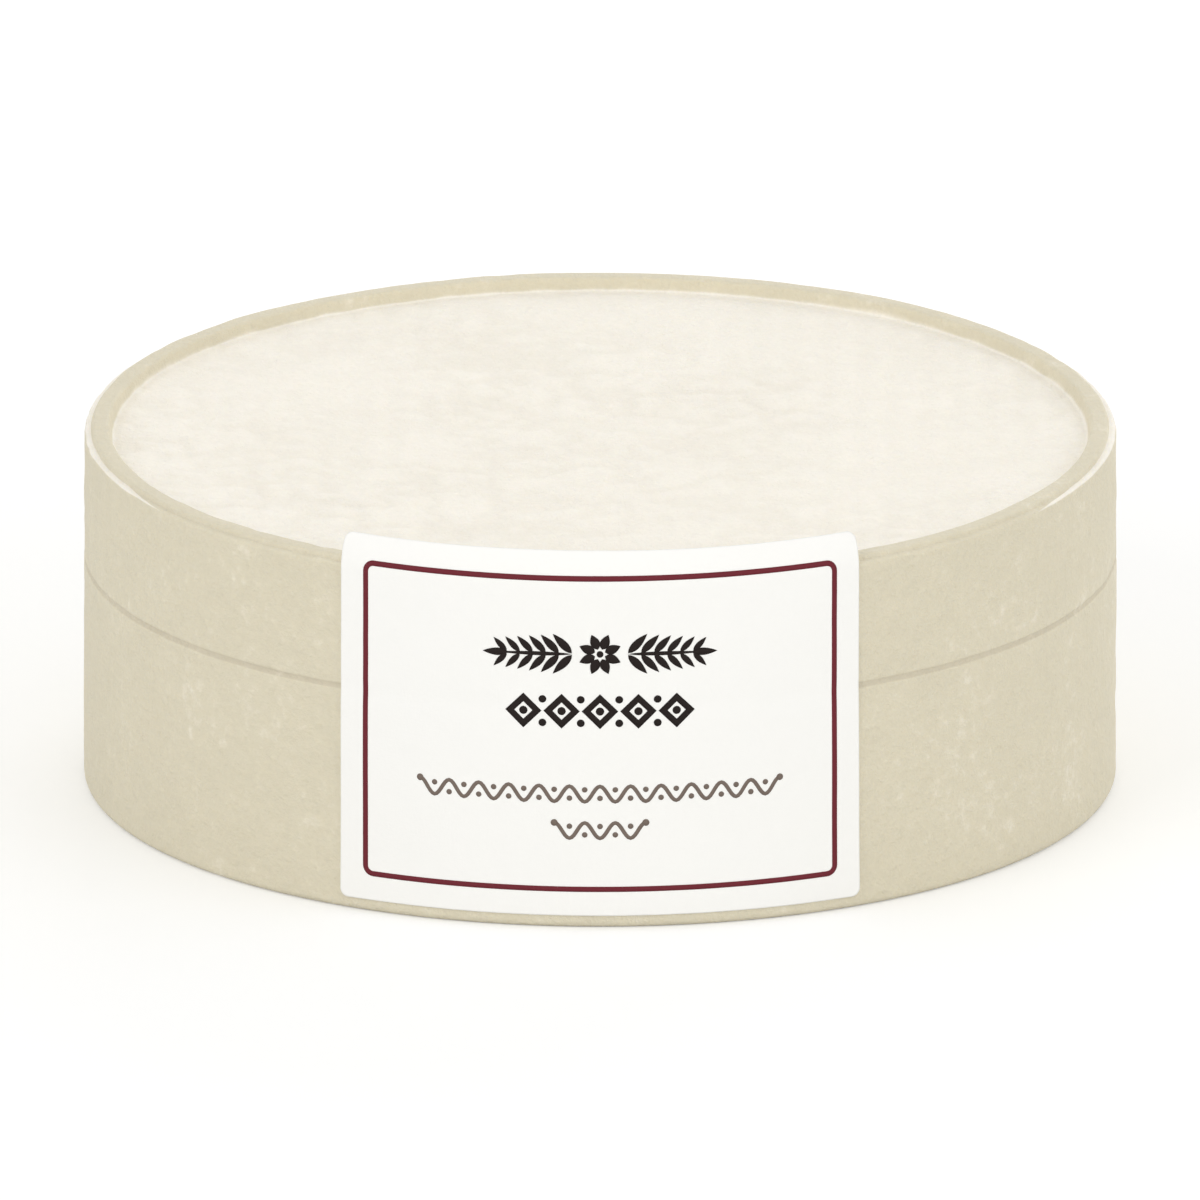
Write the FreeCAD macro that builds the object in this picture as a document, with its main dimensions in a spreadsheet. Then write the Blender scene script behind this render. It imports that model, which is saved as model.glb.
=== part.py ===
"""A round soft goat cheese with a paper label on its side, as a parametric document.

The frame is the wheel's own: millimetres, +Z up, the origin at the middle of the flat base, and the label
facing -Y.
"""

import FreeCAD, Part
import os

import Sketcher
from FreeCAD import Placement, Rotation, Vector

# Driving dimensions: alias, value, what it measures. Lengths in millimetres, angles in degrees.
SIZES = (
    ("cheese_diameter", 105.0, "across the straight wall"),
    ("wall_height", 36.8, "from the base to the shoulder"),
    ("base_round", 0.8, "rounding of the lower edge"),
    ("shoulder_round", 0.45, "rounding of the shoulder"),
    ("rim_set_in", 0.71, "from the wall in to the rim's outer face"),
    ("rim_width", 1.94, "width of the raised rim"),
    ("rim_rise", 0.5, "from the shoulder up to the rim's crest"),
    ("rim_slope", 0.15, "how far the rim's inner face leans in"),
    ("crest_round", 0.42, "rounding of the rim's two upper edges"),
    ("top_sink", 1.4, "from the crest down to the edge of the top"),
    ("top_dish", 0.4, "how much lower the middle of the top lies"),
    ("crease_height", 23.6, "from the base to the middle of the crease"),
    ("crease_width", 0.6, "width of the crease at the wall"),
    ("crease_depth", 0.3, "depth of the crease"),
    ("label_turn", 60.0, "how far the label reaches round the wall, in degrees"),
    ("label_lift", 1.4, "from the base to the label's lower edge"),
    ("label_rise", 2.6, "from the crest to the label's upper edge"),
    ("label_lean", 1.1, "how far the upper edge leans in over the rim"),
    ("label_thickness", 0.2, "thickness of the paper"),
    ("label_corner", 0.9, "rounding of the label's corners"),
)

# Heights and radii that several pieces share, worked out from the sizes.
RADIUS = "Sizes.cheese_diameter / 2"
RIM_OUTER = f"{RADIUS} - Sizes.rim_set_in"
RIM_INNER = f"{RIM_OUTER} - Sizes.rim_width"
CREST = "Sizes.wall_height + Sizes.rim_rise"
TOP_EDGE_RADIUS = f"{RIM_INNER} - Sizes.rim_slope"
TOP_EDGE_HEIGHT = f"{CREST} - Sizes.top_sink"
SHOULDER_ROUND = "min(Sizes.shoulder_round; 0.9 * Sizes.rim_set_in)"
SHOULDER_FOOT = f"Sizes.wall_height - {SHOULDER_ROUND}"
CREST_ROUND = "min(Sizes.crest_round; 0.9 * Sizes.rim_rise; 0.45 * Sizes.rim_width)"

ORIGIN_POINT = (-1, 1)
FLAT_AXIS = -1
UPRIGHT_AXIS = -2
SAME_PLACE = 1e-4
FULL_TURN = 360.0
FACING_FRONT = Placement(Vector(0, 0, 0), Rotation(Vector(0, 0, 1), -90))


def add_sizes(doc):
    """The sheet that drives every feature: a note, a value and its alias in each row."""
    sheet = doc.addObject("Spreadsheet::Sheet", "Sizes")
    for row, (alias, value, note) in enumerate(SIZES, start=1):
        sheet.set(f"A{row}", note)
        sheet.set(f"B{row}", str(value))
        sheet.setAlias(f"B{row}", alias)
    doc.recompute()


def origin_plane(body, role):
    """One of the body's own origin planes."""
    return next(plane for plane in body.Origin.OriginFeatures if plane.Role == role)


def through_radius(start, end, radius):
    """The middle of an arc of that radius; it bulges right of start to end, or left if radius is below zero."""
    chord = end - start
    half = chord.Length / 2
    sagitta = abs(radius) - (radius**2 - half**2) ** 0.5
    aside = Vector(chord.y, -chord.x, 0).normalize()
    return (start + end) / 2 + aside * sagitta * (1 if radius > 0 else -1)


def point_at(sketch, side, place):
    """Which end of that side lies at place: 1 for its start, 2 for its end."""
    return 1 if sketch.getPoint(side, 1).isEqual(place, SAME_PLACE) else 2


def bind(sketch, constraint, name, expression):
    """Adds a constraint whose value follows an expression of the sheet."""
    index = sketch.addConstraint(constraint)
    sketch.renameConstraint(index, name)
    sketch.setExpression(f"Constraints.{name}", expression)


def half_section(body, name, corners, arcs):
    """A closed outline on the XZ plane.

    corners are (radius, height) expressions. arcs gives the radius of each side that is an arc, by the number of
    the corner where that side starts.
    """
    sketch = body.newObject("Sketcher::SketchObject", name)
    sketch.AttachmentSupport = [(origin_plane(body, "XZ_Plane"), "")]
    sketch.MapMode = "FlatFace"
    places = [Vector(sketch.evalExpression(x), sketch.evalExpression(z), 0) for x, z in corners]
    count = len(corners)
    for start in range(count):
        here = places[start]
        there = places[(start + 1) % count]
        if start in arcs:
            middle = through_radius(here, there, sketch.evalExpression(arcs[start]))
            sketch.addGeometry(Part.Arc(here, middle, there))
        else:
            sketch.addGeometry(Part.LineSegment(here, there))
    for number, place in enumerate(places):
        before = (number - 1) % count
        joint = (before, point_at(sketch, before, place), number, point_at(sketch, number, place))
        sketch.addConstraint(Sketcher.Constraint("Coincident", *joint))
    for number, (across, up) in enumerate(corners):
        corner = (number, point_at(sketch, number, places[number]))
        if across == "0":
            sketch.addConstraint(Sketcher.Constraint("PointOnObject", *corner, UPRIGHT_AXIS))
        else:
            measure = Sketcher.Constraint("DistanceX", *ORIGIN_POINT, *corner, places[number].x)
            bind(sketch, measure, f"radius_{number}", across)
        if up == "0":
            sketch.addConstraint(Sketcher.Constraint("PointOnObject", *corner, FLAT_AXIS))
        else:
            measure = Sketcher.Constraint("DistanceY", *ORIGIN_POINT, *corner, places[number].y)
            bind(sketch, measure, f"height_{number}", up)
    for side, radius in arcs.items():
        size = abs(sketch.evalExpression(radius))
        bind(sketch, Sketcher.Constraint("Radius", side, size), f"bend_{side}", f"abs({radius})")
    return sketch


def turned(body, kind, name, sketch, turn):
    """A revolution or a groove of a sketch about the upright axis, to both sides of its plane alike."""
    feature = body.newObject(f"PartDesign::{kind}", name)
    feature.Profile = sketch
    feature.ReferenceAxis = (sketch, ["V_Axis"])
    feature.Midplane = True
    feature.Angle = FULL_TURN
    if turn:
        feature.setExpression("Angle", turn)
    return feature


def round_edges(body, name, base, radius, is_wanted):
    """Rounds those edges of the base feature that is_wanted accepts."""
    body.Document.recompute()
    names = [f"Edge{number}" for number, edge in enumerate(base.Shape.Edges, start=1) if is_wanted(edge)]
    if not names:
        raise RuntimeError(f"{name}: no edge to round")
    fillet = body.newObject("PartDesign::Fillet", name)
    fillet.Base = (base, names)
    fillet.setExpression("Radius", radius)
    return fillet


def circle_at(feature, radius, height):
    """A test for the circular edge of that radius at that height, both given as expressions."""
    wide = feature.evalExpression(radius)
    high = feature.evalExpression(height)

    def is_wanted(edge):
        if edge.Degenerated or not isinstance(edge.Curve, Part.Circle):
            return False
        return abs(edge.Curve.Radius - wide) < SAME_PLACE and abs(edge.Curve.Center.z - high) < SAME_PLACE

    return is_wanted


def make_cheese(doc):
    """The wheel: a straight wall with a crease, and a raised rim around a sunken, slightly dished top."""
    body = doc.addObject("PartDesign::Body", "cheese")
    dish = f"(({TOP_EDGE_RADIUS})^2 + Sizes.top_dish^2) / (2 * Sizes.top_dish)"
    outline = (
        ("0", "0"),
        (RADIUS, "0"),
        (RADIUS, "Sizes.wall_height"),
        (RIM_OUTER, "Sizes.wall_height"),
        (RIM_OUTER, CREST),
        (RIM_INNER, CREST),
        (TOP_EDGE_RADIUS, TOP_EDGE_HEIGHT),
        ("0", f"{TOP_EDGE_HEIGHT} - Sizes.top_dish"),
    )
    section = half_section(body, "wheel_section", outline, {6: f"-({dish})"})
    shape = turned(body, "Revolution", "wheel", section, None)
    for name, size, radius, height in (
        ("base_rounding", "Sizes.base_round", RADIUS, "0"),
        ("shoulder_rounding", SHOULDER_ROUND, RADIUS, "Sizes.wall_height"),
        ("crest_rounding_outside", CREST_ROUND, RIM_OUTER, CREST),
        ("crest_rounding_inside", CREST_ROUND, RIM_INNER, CREST),
    ):
        shape = round_edges(body, name, shape, size, circle_at(shape, radius, height))
    half_width = "Sizes.crease_width / 2"
    beyond_wall = f"{RADIUS} + Sizes.crease_width"
    below = f"Sizes.crease_height - {half_width}"
    above = f"Sizes.crease_height + {half_width}"
    deepest = f"{RADIUS} - Sizes.crease_depth"
    outline = (
        (RADIUS, below),
        (beyond_wall, below),
        (beyond_wall, above),
        (RADIUS, above),
        (deepest, "Sizes.crease_height"),
    )
    section = half_section(body, "crease_section", outline, {})
    turned(body, "Groove", "crease", section, None)
    return body


def make_label(doc):
    """The paper: it lies on the wall, crosses the crease, and its upper edge leans in over the rim."""
    body = doc.addObject("PartDesign::Body", "label")
    top = f"{CREST} + Sizes.label_rise"
    lip = f"({top} - ({SHOULDER_FOOT}))"
    bend = f"(({lip}^2 + Sizes.label_lean^2) / (2 * Sizes.label_lean))"
    growth = f"(({bend} + Sizes.label_thickness) / {bend})"
    outside = f"{RADIUS} + Sizes.label_thickness"
    outside_top = f"{SHOULDER_FOOT} + {lip} * {growth}"
    outline = (
        (RADIUS, "Sizes.label_lift"),
        (outside, "Sizes.label_lift"),
        (outside, SHOULDER_FOOT),
        (f"{RADIUS} - {bend} + ({bend} - Sizes.label_lean) * {growth}", outside_top),
        (f"{RADIUS} - Sizes.label_lean", top),
        (RADIUS, SHOULDER_FOOT),
    )
    section = half_section(
        body, "paper_section", outline, {2: f"{bend} + Sizes.label_thickness", 4: f"-({bend})"}
    )
    paper = turned(body, "Revolution", "paper", section, "Sizes.label_turn")
    doc.recompute()
    thickness = paper.evalExpression("Sizes.label_thickness")
    heights = [edge.BoundBox.Center.z for edge in paper.Shape.Edges]
    middle = (min(heights) + max(heights)) / 2
    reach = (max(heights) - min(heights)) / 2

    def is_corner(edge):
        """The four short edges through the paper's thickness, at the ends of its upper and lower edges."""
        at_end = abs(edge.BoundBox.Center.z - middle) > reach * 0.99
        return at_end and abs(edge.Length - thickness) < SAME_PLACE

    round_edges(body, "corner_rounding", paper, "Sizes.label_corner", is_corner)
    body.Placement = FACING_FRONT
    return body


def check(doc, bodies):
    """Raises if any feature failed or any sub-part isn't one valid solid."""
    for thing in doc.Objects:
        if "Invalid" in thing.State or "Error" in thing.State:
            raise RuntimeError(f"{thing.Label}: {thing.State}")
    for body in bodies:
        shape = body.Shape
        if shape.isNull() or not shape.isValid() or len(shape.Solids) != 1:
            raise RuntimeError(f"{body.Label}: not one valid solid")


def main():
    doc = FreeCAD.newDocument("goat_cheese")
    add_sizes(doc)
    bodies = [make_cheese(doc), make_label(doc)]
    doc.recompute()
    check(doc, bodies)
    os.makedirs("parts", exist_ok=True)
    for body in bodies:
        body.Shape.exportStep(f"parts/{body.Label}.step")
        box = body.Shape.optimalBoundingBox()
        print(f"{body.Label}: {box.XLength:.2f} x {box.YLength:.2f} x {box.ZLength:.2f} mm,", end=" ")
        print(f"{body.Shape.Volume / 1000:.2f} cm3")


main()
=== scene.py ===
"""The looks of a round soft goat cheese.

It has a bloomy rind, a paper label glued to its side, and the label's print. The wheel stands on the floor
at the origin, +Z up, with its label facing -Y. All lengths are in metres.
"""

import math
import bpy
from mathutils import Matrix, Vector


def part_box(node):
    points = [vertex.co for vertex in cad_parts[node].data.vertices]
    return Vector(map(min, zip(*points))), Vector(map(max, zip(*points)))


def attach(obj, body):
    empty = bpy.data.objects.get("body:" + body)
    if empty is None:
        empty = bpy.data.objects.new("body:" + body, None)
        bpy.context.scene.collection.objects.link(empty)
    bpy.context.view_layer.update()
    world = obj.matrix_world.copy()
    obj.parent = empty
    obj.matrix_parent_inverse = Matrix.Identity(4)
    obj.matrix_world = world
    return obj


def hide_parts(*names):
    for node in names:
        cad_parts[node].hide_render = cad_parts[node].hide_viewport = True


bl_info = {
    "name": "Soft goat cheese",
    "version": (1, 0, 0),
    "blender": (4, 5, 0),
    "location": "3D View > Sidebar > Cheese",
    "description": "Builds a soft goat cheese with its label, and a plain stage for it",
    "category": "Add Mesh",
}

import bpy
from bpy.props import FloatProperty, FloatVectorProperty, IntProperty, PointerProperty
from mathutils import Vector

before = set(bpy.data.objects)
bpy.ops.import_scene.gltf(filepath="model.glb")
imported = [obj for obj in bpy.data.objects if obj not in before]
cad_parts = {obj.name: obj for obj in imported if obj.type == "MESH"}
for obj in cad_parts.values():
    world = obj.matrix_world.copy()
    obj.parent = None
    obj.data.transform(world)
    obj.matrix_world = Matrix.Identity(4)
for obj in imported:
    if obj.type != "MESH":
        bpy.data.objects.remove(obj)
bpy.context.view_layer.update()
WHEEL_LOW, WHEEL_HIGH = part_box("cheese")
LABEL_LOW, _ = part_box("label")

BODY = "root"
MM = 0.001
WELD = 0.002 * MM  # points closer than this become one
HAIR = 0.0004 * MM  # each motif stands this much higher than the last, so that no two share a face


# ---------------- properties


def number(name, description, default, **settings):
    """A number that a user can change."""
    return FloatProperty(name=name, description=description, default=default, **settings)


def length(name, description, millimetres):
    """A length that a user can change."""
    return number(name, description, millimetres * MM, unit="LENGTH", precision=5)


def whole(name, description, default, low):
    """A whole number that a user can change, low at the least."""
    return IntProperty(name=name, description=description, default=default, min=low)


def linear(hexadecimal):
    """Linear red, green and blue from a colour written as rrggbb."""
    parts = [int(hexadecimal[i : i + 2], 16) / 255 for i in (0, 2, 4)]
    return tuple(p / 12.92 if p <= 0.04045 else ((p + 0.055) / 1.055) ** 2.4 for p in parts)


def colour(name, description, hexadecimal):
    """A colour that a user can change, written as rrggbb."""
    settings = {"default": linear(hexadecimal), "subtype": "COLOR", "min": 0.0, "max": 1.0}
    return FloatVectorProperty(name=name, description=description, **settings)


class WheelSizes(bpy.types.PropertyGroup):
    """The cheese itself, from its base up."""

    radius: length("Radius", "From the axis to the straight wall", (WHEEL_HIGH.x - WHEEL_LOW.x) / 2 / MM)
    crest: length("Crest", "Height of the rim's crest above the base", WHEEL_HIGH.z / MM)
    base_round: length("Base rounding", "Rounding of the lower edge", 0.8)
    shoulder_round: length("Shoulder rounding", "Rounding of the shoulder", 0.45)
    rim_set_in: length("Rim set-in", "From the wall in to the rim's outer face", 0.71)
    rim_width: length("Rim width", "Width of the raised rim", 1.94)
    rim_rise: length("Rim rise", "From the shoulder up to the crest", 0.5)
    rim_slope: length("Rim slope", "How far the rim's inner face leans in", 0.15)
    crest_round: length("Crest rounding", "Rounding of the rim's upper edges", 0.42)
    top_sink: length("Top sink", "From the crest down to the edge of the top", 1.4)
    top_dish: length("Top dish", "How much lower the middle of the top lies", 0.4)
    top_round: length("Top rounding", "Rounding where the rim meets the top", 0.4)
    crease_height: length("Crease height", "From the base to the crease", 23.6)
    crease_width: length("Crease width", "Width of the crease at the wall", 0.6)
    crease_depth: length("Crease depth", "Depth of the crease", 0.16)
    crease_sway: length("Crease sway", "How far the crease strays up and down", 0.22)
    broad_relief: length("Broad relief", "Height of the wide, soft unevenness", 0.16)
    close_relief: length("Close relief", "Height of the closer unevenness", 0.08)
    wrinkle_relief: length("Wrinkle relief", "Depth of the rind's wrinkles", 0.2)
    wrinkle_width: length("Wrinkle width", "Distance between the rind's wrinkles", 6.5)
    wall_wrinkles: number("Wall wrinkles", "Share of the wrinkles' depth that the wall has", 0.45)
    mat_relief: length("Mat relief", "Height of the draining mat's ridges", 0.06)
    mat_pitch: length("Mat pitch", "Distance between the draining mat's ridges", 3.4)
    disc_cells: whole("Disc cells", "Mesh cells across the top", 140, 8)
    seed: number("Seed", "Which of many like wheels this is", 3.7)


class LabelSizes(bpy.types.PropertyGroup):
    """The paper on the side of the wheel."""

    turn: number("Turn", "How far the paper reaches round the wall", math.radians(60), subtype="ANGLE")
    lift: length("Lift", "From the base to the lower edge", LABEL_LOW.z / MM)
    rise: length("Rise", "From the crest to the upper edge", 2.6)
    lean: length("Lean", "How far the upper edge leans in over the rim", 1.1)
    thickness: length("Thickness", "Thickness of the paper", 0.2)
    corner: length("Corner", "Rounding of the corners", 0.9)
    corner_lift: length("Corner lift", "How far the lower corners have come off the wall", 0.22)
    lip_sway: length("Lip sway", "How far the free upper edge waves in and out", 0.16)
    crease_dip: length("Crease dip", "How far the paper sinks where it spans the crease", 0.05)


class PrintSizes(bpy.types.PropertyGroup):
    """What is printed on the paper: a frame and four rows of ornament."""

    ink: length("Ink height", "How far the print stands off the paper", 0.02)
    soaked_in: length("Soaked in", "How far the print reaches into the paper", 0.015)
    inset: length("Frame inset", "From the paper's edge to the frame", 2.55)
    line: length("Frame line", "Width of the frame's line", 0.56)
    frame_corner: length("Frame corner", "Rounding of the frame's corners", 0.85)
    garland_height: length("Garland height", "From the lower edge to the leaf garland", 27.9)
    garland_width: length("Garland width", "Width of the leaf garland", 24.0)
    leaf_pairs: whole("Leaf pairs", "Pairs of leaves on each half of the garland", 6, 2)
    petals: whole("Petals", "Petals in the middle of the garland", 8, 3)
    lozenge_height: length("Lozenge height", "From the lower edge to the row of lozenges", 21.8)
    lozenge_width: length("Lozenge width", "Width of the row of lozenges", 19.3)
    lozenge_size: length("Lozenge size", "Width of one lozenge", 3.7)
    lozenges: whole("Lozenges", "How many lozenges are in the row", 5, 2)
    wave_height: length("Wave height", "From the lower edge to the long wave", 13.0)
    wave_width: length("Wave width", "Width of the long wave", 37.2)
    tail_height: length("Tail height", "From the lower edge to the short wave", 9.1)
    tail_width: length("Tail width", "Width of the short wave", 9.3)
    wave_pitch: length("Wave pitch", "Length of one wave", 3.1)
    wave_rise: length("Wave rise", "From the middle of a wave to its crest", 0.82)
    wave_line: length("Wave line", "Width of the wave's line", 0.4)
    pearl: length("Pearl", "Width of the dots along a wave", 0.58)


class CheeseColours(bpy.types.PropertyGroup):
    """Rind, paper and inks."""

    bloom: colour("Bloom", "Thick bloom on the top", "f7f1e5")
    # Painted shade: the bloom's ivory darkened, for the rim and the wall
    shaded_ground: colour("Ground", "Thin bloom on the rim and the wall", "dbd3bc")
    # Painted shade in the crease's groove: darker than the ground
    crease: colour("Crease", "Bare rind in the crease", "d0c7b1")
    lightness: number("Lightness", "Brightness of the whole rind", 1.045)
    patchiness: number("Patchiness", "How thick the bloom's patches on the wall are", 0.5)
    thin_spots: number("Thin spots", "How thin the bloom is where it is worn", 0.17)
    paper: colour("Paper", "The label's paper", "fcfbf7")
    frame_ink: colour("Frame ink", "The printed frame", "722f37")
    dark_ink: colour("Dark ink", "The bold ornament", "2b2523")
    soft_ink: colour("Soft ink", "The fine ornament", "7b6e65")


class StageSettings(bpy.types.PropertyGroup):
    """Camera, lamps and floor."""

    view_width: length("View width", "Width of what the camera sees", 122.1)
    aim: length("Aim", "Height of the point the camera looks at", 18.5)
    elevation: number("Elevation", "How far the camera looks down", math.radians(17.48), subtype="ANGLE")
    sky: number("Sky", "Strength of the even light from all round", 0.73)
    key: number("Key", "Power of the main lamp", 2.06, unit="POWER")
    fill: number("Fill", "Power of the second lamp", 1.66, unit="POWER")
    rear: number("Rear", "Power of the lamp behind", 2.8, unit="POWER")


GROUPS = {
    "cheese_wheel": WheelSizes,
    "cheese_label": LabelSizes,
    "cheese_print": PrintSizes,
    "cheese_colours": CheeseColours,
    "cheese_stage": StageSettings,
}


# ---------------- node building


class Value:
    """A value in a node tree. Arithmetic on it adds the nodes that work it out."""

    def __init__(self, nodes, socket):
        self.nodes = nodes
        self.socket = socket

    def __add__(self, other):
        return self.nodes.math("ADD", self, other)

    def __sub__(self, other):
        return self.nodes.math("SUBTRACT", self, other)

    def __rsub__(self, other):
        return self.nodes.math("SUBTRACT", other, self)

    def __mul__(self, other):
        return self.nodes.math("MULTIPLY", self, other)

    def __truediv__(self, other):
        return self.nodes.math("DIVIDE", self, other)

    def __rtruediv__(self, other):
        return self.nodes.math("DIVIDE", other, self)

    def __neg__(self):
        return self * -1.0

    __radd__ = __add__
    __rmul__ = __mul__


class Nodes:
    """Adds nodes to a tree, for geometry and materials alike."""

    def __init__(self, tree):
        self.tree = tree

    def feed(self, socket, value):
        """Links a value to a socket, or sets the socket."""
        if isinstance(value, Value):
            value = value.socket
        if isinstance(value, bpy.types.NodeSocket):
            self.tree.links.new(value, socket)
        else:
            socket.default_value = value

    def add(self, kind, inputs=None, **settings):
        """A node with its settings made and its inputs fed, by name or number."""
        node = self.tree.nodes.new(kind)
        for name, setting in settings.items():
            setattr(node, name, setting)
        for key, value in (inputs or {}).items():
            self.feed(node.inputs[key], value)
        return node

    def made(self, kind, inputs=None, output=0, **settings):
        """One output of a new node, as a value to reckon with."""
        return Value(self, self.add(kind, inputs, **settings).outputs[output])

    def math(self, operation, *operands):
        """One step of arithmetic."""
        return self.made("ShaderNodeMath", dict(enumerate(operands)), operation=operation)

    def largest(self, *operands):
        """The larger of two numbers."""
        return self.math("MAXIMUM", *operands)

    def unsigned(self, value):
        """A number without its sign."""
        return self.math("ABSOLUTE", value)

    def length(self, vector):
        """The length of a vector."""
        return self.made("ShaderNodeVectorMath", {0: vector}, "Value", operation="LENGTH")

    def scaled(self, vector, factor):
        """A vector or a colour times a number."""
        return self.made("ShaderNodeVectorMath", {0: vector, "Scale": factor}, operation="SCALE")

    def split(self, vector):
        """The three parts of a vector."""
        node = self.add("ShaderNodeSeparateXYZ", {0: vector})
        return [Value(self, part) for part in node.outputs]

    def joined(self, x=0.0, y=0.0, z=0.0):
        """A vector from three parts."""
        return self.made("ShaderNodeCombineXYZ", {0: x, 1: y, 2: z})

    def step(self, value, start, end):
        """0 up to start, 1 from end on, and smooth in between; end may be the smaller."""
        inputs = {"Value": value, "From Min": start, "From Max": end}
        return self.made("ShaderNodeMapRange", inputs, interpolation_type="SMOOTHSTEP")

    def noise(self, vector, size, seed, detail=2.0, roughness=0.5):
        """Noise from -1 to 1 whose features are about size metres wide."""
        inputs = {"Vector": vector, "W": seed, "Scale": 1 / size, "Detail": detail, "Roughness": roughness}
        return self.made("ShaderNodeTexNoise", inputs, noise_dimensions="4D") * 2.0 - 1.0

    def mixed(self, factor, first, second):
        """One colour turning into another."""
        return self.made("ShaderNodeMix", {0: factor, 6: first, 7: second}, 2, data_type="RGBA")


class GeometryTree(Nodes):
    """A geometry node tree. Its inputs are named in a dict with their defaults, None for geometry."""

    def __init__(self, name, inputs, output="NodeSocketGeometry"):
        super().__init__(bpy.data.node_groups.new(name, "GeometryNodeTree"))
        for label, default in inputs.items():
            socket = self.tree.interface.new_socket(label, in_out="INPUT", socket_type=socket_kind(default))
            if isinstance(default, (int, float)):
                socket.default_value = default
        self.tree.interface.new_socket("Result", in_out="OUTPUT", socket_type=output)
        self.start = self.add("NodeGroupInput")
        self.end = self.add("NodeGroupOutput")

    def given(self, label):
        """One of the tree's named inputs."""
        return Value(self, self.start.outputs[label])

    def returns(self, result):
        """Ends the tree."""
        self.feed(self.end.inputs[0], result)
        return self.tree

    def grouped(self, group, inputs):
        """The result of another tree used inside this one."""
        return self.made("GeometryNodeGroup", inputs, node_tree=group)

    def position(self):
        """Where each point is."""
        return self.made("GeometryNodeInputPosition")

    def moved(self, geometry, place):
        """Geometry with its points put at a place."""
        return self.made("GeometryNodeSetPosition", {"Geometry": geometry, "Position": place})

    def shifted(self, geometry, offset):
        """Geometry with its points moved by an offset."""
        return self.made("GeometryNodeSetPosition", {"Geometry": geometry, "Offset": offset})

    def flipped(self, geometry):
        """Geometry turned inside out."""
        return self.made("GeometryNodeFlipFaces", {0: geometry})

    def shaded(self, geometry, smooth=True, where=True):
        """Geometry shaded smooth or flat, as a whole or in part."""
        inputs = {0: geometry, "Selection": where, "Shade Smooth": smooth}
        return self.made("GeometryNodeSetShadeSmooth", inputs)

    def welded(self, *parts):
        """Several meshes as one, welded where they meet."""
        join = self.add("GeometryNodeJoinGeometry")
        for part in parts:
            self.feed(join.inputs[0], part)
        return self.made("GeometryNodeMergeByDistance", {0: join.outputs[0], "Distance": WELD})

    def thick(self, sheet, thickness):
        """A smooth sheet given thickness along its normals, closed, with a sharp cut edge."""
        inputs = {"Mesh": sheet, "Offset Scale": thickness, "Individual": False}
        pulled = self.add("GeometryNodeExtrudeMesh", inputs)
        front = self.shaded(self.shaded(pulled.outputs["Mesh"]), False, pulled.outputs["Side"])
        return self.welded(front, self.shaded(self.flipped(sheet)))

    def finished(self, geometry, material):
        """Ends the tree with real mesh and its material."""
        real = self.made("GeometryNodeRealizeInstances", {0: geometry})
        return self.returns(self.made("GeometryNodeSetMaterial", {"Geometry": real, "Material": material}))


def socket_kind(default):
    """The kind of input socket that a default value needs."""
    kinds = {int: "NodeSocketInt", float: "NodeSocketFloat", tuple: "NodeSocketVector"}
    if isinstance(default, bpy.types.Object):
        return "NodeSocketObject"
    return kinds.get(type(default), "NodeSocketGeometry")


def sizes(group, *keys):
    """Named inputs of a tree that are a group's own values."""
    return {key.replace("_", " ").capitalize(): getattr(group, key) for key in keys}


def new_object(name, vertices, edges=(), faces=()):
    """An object of plain mesh, linked to the scene."""
    mesh = bpy.data.meshes.new(name)
    mesh.from_pydata(vertices, edges, faces)
    mesh.update()
    made = bpy.data.objects.new(name, mesh)
    bpy.context.scene.collection.objects.link(made)
    return made


def grown(made, tree, inputs):
    """Runs a geometry tree on an object, and turns the result into a plain mesh."""
    modifier = made.modifiers.new("Shape", "NODES")
    modifier.node_group = tree
    sockets = {s.name: s.identifier for s in tree.interface.items_tree if s.in_out == "INPUT"}
    for name, value in inputs.items():
        if value is not None:
            modifier[sockets[name]] = value
    depsgraph = bpy.context.evaluated_depsgraph_get()
    mesh = bpy.data.meshes.new_from_object(made.evaluated_get(depsgraph), depsgraph=depsgraph)
    made.modifiers.clear()
    made.data = mesh
    mesh.name = made.name


def belongs(piece, slot, *nodes):
    """Ties a finished piece to the model's body and hides the parts that it stands for. The slot is not used.
    """
    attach(piece, BODY)
    if nodes:
        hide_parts(*nodes)


# ---------------- materials


def emptied(owner):
    """The node tree of a material or a world, with no nodes yet."""
    owner.use_nodes = True
    owner.node_tree.nodes.clear()
    return Nodes(owner.node_tree)


def new_material(name, kind="ShaderNodeBsdfPrincipled"):
    """A material, its nodes, its shader and the place of each point that it colours."""
    material = bpy.data.materials.new(name)
    nodes = emptied(material)
    shader = nodes.add(kind)
    nodes.add("ShaderNodeOutputMaterial", {"Surface": shader.outputs[0]})
    return material, nodes, shader, nodes.made("ShaderNodeTexCoord", output="Object")


def coated(nodes, shader, coat, relief, roughness, even):
    """Gives a shader its colour, its relief in millimetres, its roughness and what is even all over."""
    bump = nodes.made("ShaderNodeBump", {"Height": relief, "Strength": 1.0, "Distance": MM})
    for name, value in {"Base Color": coat, "Normal": bump, "Roughness": roughness, **even}.items():
        nodes.feed(shader.inputs[name], value)


def rgba(colour_in):
    """A colour property as a socket takes it."""
    return (*colour_in, 1.0)


# Where the thick ivory bloom starts and where it is full; elsewhere lies the darker ground, which is painted
# shade
TOP_BLOOM = (0.06 * MM, -0.14 * MM)  # out from the rim's foot
LEDGE_BLOOM = (-0.02 * MM, 0.10 * MM)  # out from the rim's outer face
SHOULDER_BLOOM = (-0.30 * MM, -0.16 * MM)  # up from the shoulder
SIDE_BLOOM = (-30 * MM, -19 * MM)  # along Y, from the front to the sides


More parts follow.
